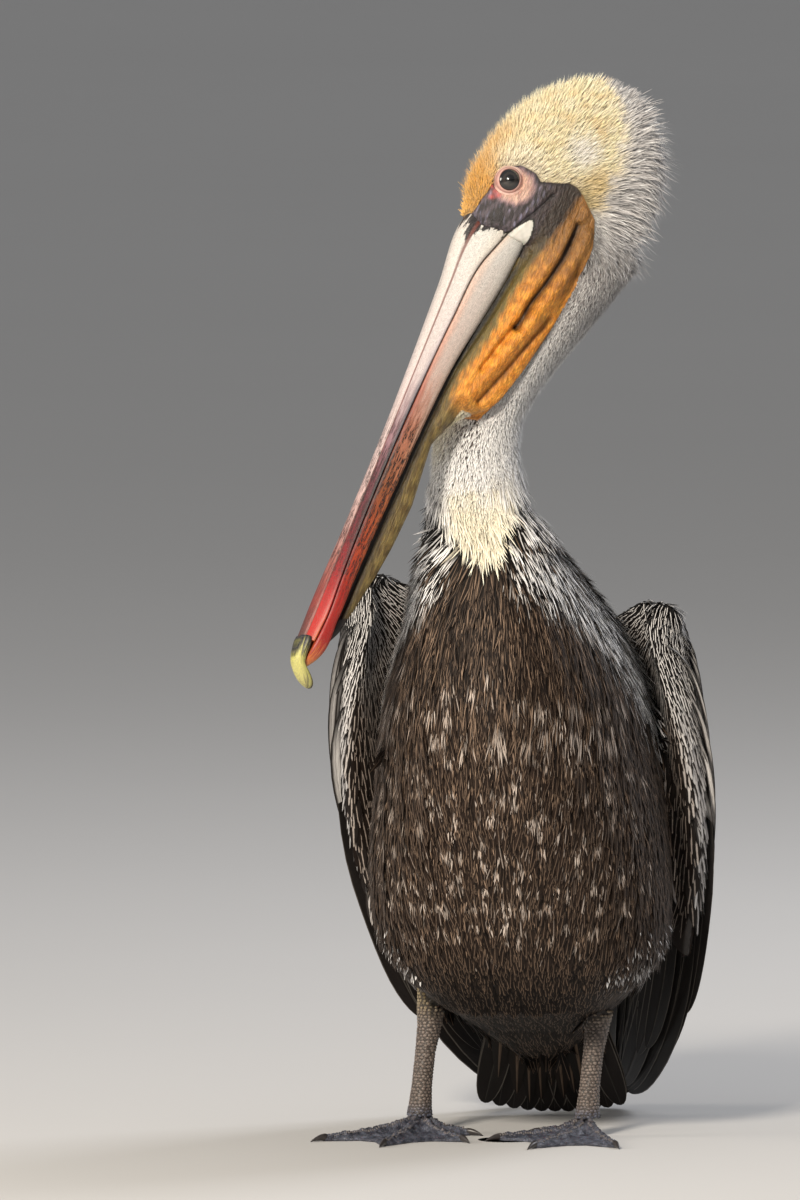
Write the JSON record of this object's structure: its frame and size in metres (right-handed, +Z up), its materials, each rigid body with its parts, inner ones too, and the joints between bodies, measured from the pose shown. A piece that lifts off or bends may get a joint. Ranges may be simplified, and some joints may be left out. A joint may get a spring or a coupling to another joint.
{
  "type": "brown pelican",
  "caption": "Life-size brown pelican standing upright on webbed feet, head turned to its right and long hooked bill held down in front of one wing; a still model.",
  "frame": {"origin": "on the floor under the middle of the bird's bounding box", "axes": "+Z up, the bird's breast faces -Y and its left side is +X"},
  "size_m": [0.2597, 0.5131, 0.7315],
  "materials": {
    "brown_plumage": "soft dark brown contour feathers with pale flecks",
    "white_plumage": "short white plush with a cream base",
    "straw_plumage": "short straw-yellow plush, white at the nape",
    "silver_plumage": "silver-grey lance-shaped feathers with dark edges",
    "bill_horn": "satin horn, white at the base and red near the tip",
    "nail_horn": "satin yellow-green horn",
    "pouch_skin": "wrinkled orange to olive skin",
    "leg_skin": "grey-brown scaled skin and webs",
    "eye": "wet dark brown",
    "claw_horn": "dark horn"
  },
  "bodies": {
    "root": {"trunk": "brown_plumage", "neck_lower": "white_plumage", "neck_upper": "white_plumage", "head": "straw_plumage", "wing_left": "silver_plumage", "wing_right": "silver_plumage", "primaries_left": "silver_plumage", "primaries_right": "silver_plumage", "tail": "silver_plumage", "bill_upper": "bill_horn", "bill_lower": "bill_horn", "bill_nail": "nail_horn", "pouch": "pouch_skin", "eye_left": "eye", "eye_right": "eye", "leg_left": "leg_skin", "leg_right": "leg_skin", "foot_left": "leg_skin", "foot_right": "leg_skin", "claw_left_outer": "claw_horn", "claw_left_middle": "claw_horn", "claw_left_inner": "claw_horn", "claw_left_hind": "claw_horn", "claw_right_outer": "claw_horn", "claw_right_middle": "claw_horn", "claw_right_inner": "claw_horn", "claw_right_hind": "claw_horn"}
  },
  "joints": []
}
